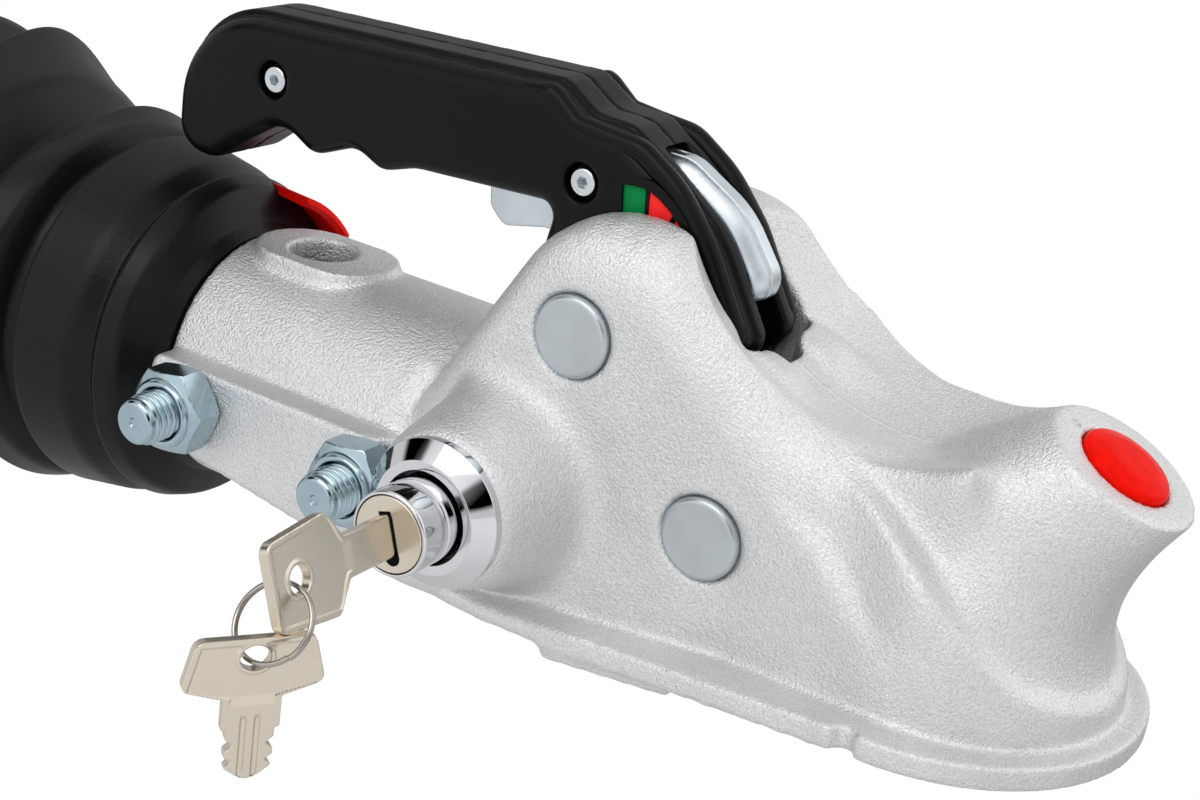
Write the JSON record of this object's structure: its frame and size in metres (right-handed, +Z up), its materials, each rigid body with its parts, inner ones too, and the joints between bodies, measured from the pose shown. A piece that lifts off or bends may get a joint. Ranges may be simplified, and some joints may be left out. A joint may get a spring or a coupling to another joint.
{
  "type": "trailer coupling head",
  "caption": "Cast trailer coupling head for a tow ball, with a lifting handle, ball jaw, push lock with keys, and a rubber bellows on its round drawbar.",
  "frame": {"origin": "centre of the tow ball that the cup holds", "axes": "+X to the nose in the direction of travel, +Y to the left, +Z up"},
  "size_m": [0.388, 0.1767, 0.1509],
  "materials": {
    "cast_metal": "sand-cast, bright zinc coated, satin",
    "red_cap": "glossy",
    "drawbar_steel": "zinc coated",
    "zinc_fasteners": "blue zinc",
    "black_plastic": "fine grain, satin",
    "zinc_steel": "bright zinc",
    "green_tile": "glossy",
    "red_tile": "glossy",
    "lock_chrome": "polished",
    "key_nickel": "nickel plated, satin",
    "ring_steel": "polished",
    "black_rubber": "satin",
    "red_tongue": "satin"
  },
  "bodies": {
    "base": {"coupling_body": "cast_metal", "nose_plug": "red_cap", "drawbar_tube": "drawbar_steel", "cross_bolts": "zinc_fasteners", "cross_nuts": "zinc_fasteners", "handle_pivot_pin": "zinc_fasteners", "jaw_pivot_pin": "zinc_fasteners", "lock_bezel": "lock_chrome", "rubber_bellows": "black_rubber", "bellows_red_tab": "red_tongue"},
    "handle": {"handle_shell_right": "black_plastic", "handle_shell_left": "black_plastic", "lever_plate": "zinc_steel", "handle_screws": "zinc_fasteners", "handle_screw_nuts": "zinc_fasteners", "indicator_green": "green_tile", "indicator_red": "red_tile"},
    "catch": {"release_catch": "zinc_steel"},
    "jaw": {"ball_jaw": "zinc_steel"},
    "barrel": {"lock_barrel": "lock_chrome", "lock_bolt": "lock_chrome"},
    "plug": {"lock_plug": "key_nickel", "key_in_lock": "key_nickel"},
    "ring": {"key_ring": "ring_steel"},
    "second_key": {"spare_key": "key_nickel"}
  },
  "joints": [
    {"name": "handle_lift", "type": "hinge", "parent": "base", "child": "handle", "pos_m": [-0.0835, 0, 0.0454], "axis": [0, 1, 0], "range_deg": [0, 60], "stiffness_Nm_per_rad": 0.4, "springref_deg": -28.65},
    {"name": "jaw_swing", "type": "hinge", "parent": "base", "child": "jaw", "pos_m": [-0.0462, 0, 0.0123], "axis": [0, 1, 0], "range_deg": [0, 20]},
    {"name": "catch_pull", "type": "hinge", "parent": "handle", "child": "catch", "pos_m": [-0.0957, 0, 0.073], "axis": [0, 1, 0], "range_deg": [0, 8], "stiffness_Nm_per_rad": 0.2, "springref_deg": -17.19},
    {"name": "lock_push", "type": "slide", "parent": "base", "child": "barrel", "axis": [0, 1, 0], "range_m": [0, 0.0145]},
    {"name": "key_turn", "type": "hinge", "parent": "barrel", "child": "plug", "pos_m": [-0.0976, -0.06, 0.0064], "axis": [0, 1, 0], "range_deg": [0, 90]},
    {"name": "ring_swing", "type": "hinge", "parent": "plug", "child": "ring", "pos_m": [-0.0976, -0.09628, 0.00553], "axis": [1, 0, 0], "range_deg": [-2, 8]},
    {"name": "spare_key_swing", "type": "hinge", "parent": "ring", "child": "second_key", "pos_m": [-0.0976, -0.10613, -0.00707], "axis": [1, 0, 0], "range_deg": [-4, 2]}
  ],
  "couplings": [
    {"joint": "jaw_swing", "follows": "handle_lift", "ratio": 0.33333}
  ]
}
